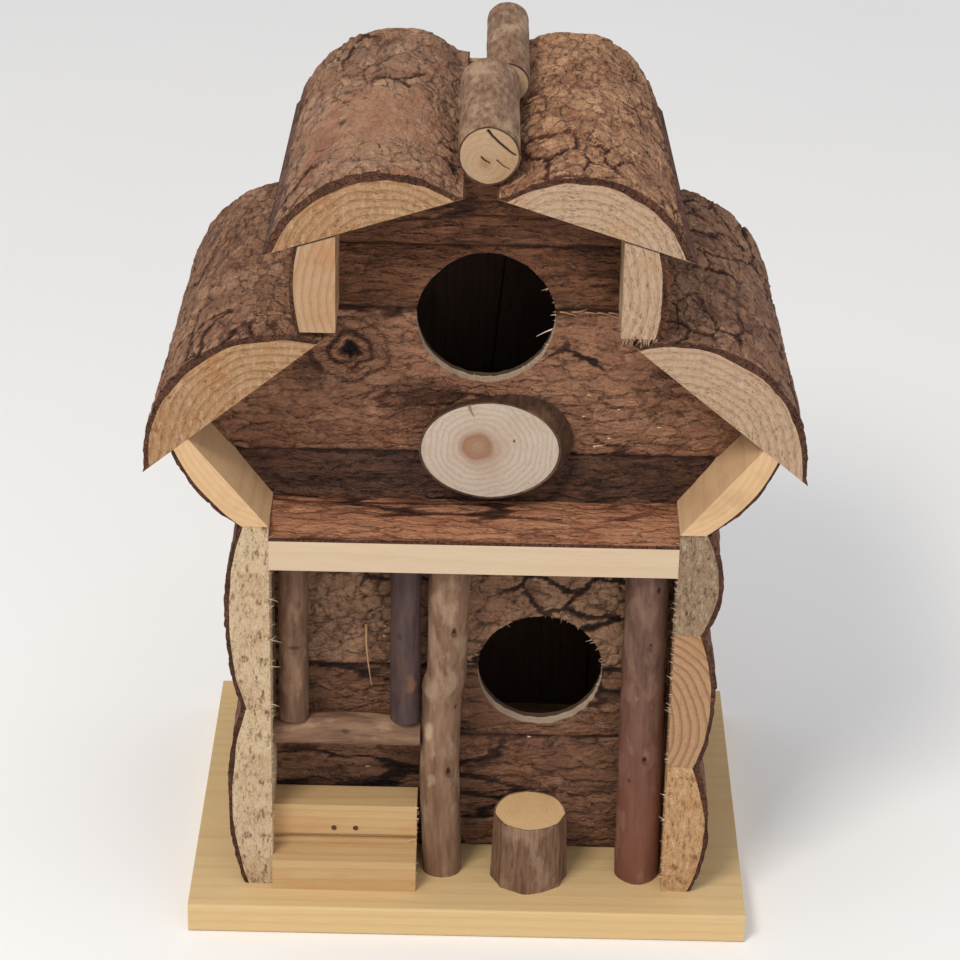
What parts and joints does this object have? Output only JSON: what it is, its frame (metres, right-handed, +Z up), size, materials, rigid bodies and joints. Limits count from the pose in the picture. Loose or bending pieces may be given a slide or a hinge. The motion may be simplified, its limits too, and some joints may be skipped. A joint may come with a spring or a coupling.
{
  "type": "insect hotel",
  "caption": "Rustic two-storey garden house of bark-faced log slabs on a plank, with round entrances, a balcony, branch posts, a window, steps and a stump seat.",
  "frame": {"origin": "middle of the base plank's underside, under the centre of the object's bounding box", "axes": "+Z up along the house's height, +X to the right seen from the front, and -Y out of the front, where the balcony is"},
  "size_m": [0.2394, 0.166, 0.3199],
  "materials": {
    "planed_pine": "planed",
    "roof_slab": "rough bark over sawn wood",
    "side_slab": "rough sawn ends, bark outside",
    "front_wall": "bark",
    "back_board": "rough sawn",
    "balcony": "sawn front, bark top",
    "branch_slice": "sanded end grain with bark rim",
    "ridge_log": "thin bark, sawn ends",
    "red_branch": "thin smooth bark",
    "grey_branch": "thin smooth bark",
    "stump": "bark with a sawn top",
    "steel": "dull"
  },
  "bodies": {
    "root": {"back_wall_board_1": "back_board", "back_wall_board_2": "back_board", "back_wall_board_3": "back_board", "back_wall_board_4": "back_board", "balcony_brads": "steel", "balcony_slab": "balcony", "base_plank": "planed_pine", "base_screws": "steel", "front_ridge_log": "ridge_log", "front_wall_board_1": "front_wall", "front_wall_board_2": "front_wall", "front_wall_board_3": "front_wall", "front_wall_board_4": "front_wall", "front_wall_board_5": "front_wall", "front_wall_board_6": "front_wall", "front_wall_board_7": "front_wall", "inner_floor": "back_board", "left_clerestory_board": "side_slab", "left_flare_slab": "side_slab", "left_lower_roof_slab": "roof_slab", "left_upper_roof_slab": "roof_slab", "left_wall_lower_slab": "side_slab", "left_wall_upper_slab": "side_slab", "left_window_stick": "grey_branch", "lower_step": "planed_pine", "middle_post": "grey_branch", "perch_slice": "branch_slice", "post_brads": "steel", "rear_ridge_log": "ridge_log", "right_clerestory_board": "side_slab", "right_flare_slab": "side_slab", "right_lower_roof_slab": "roof_slab", "right_post": "red_branch", "right_upper_roof_slab": "roof_slab", "right_wall_lower_slab": "side_slab", "right_wall_middle_slab": "side_slab", "right_wall_upper_slab": "side_slab", "right_window_stick": "grey_branch", "roof_brads": "steel", "step_brads": "steel", "stump_seat": "stump", "upper_step": "planed_pine", "wall_brads": "steel", "window_rail": "grey_branch"}
  },
  "joints": []
}
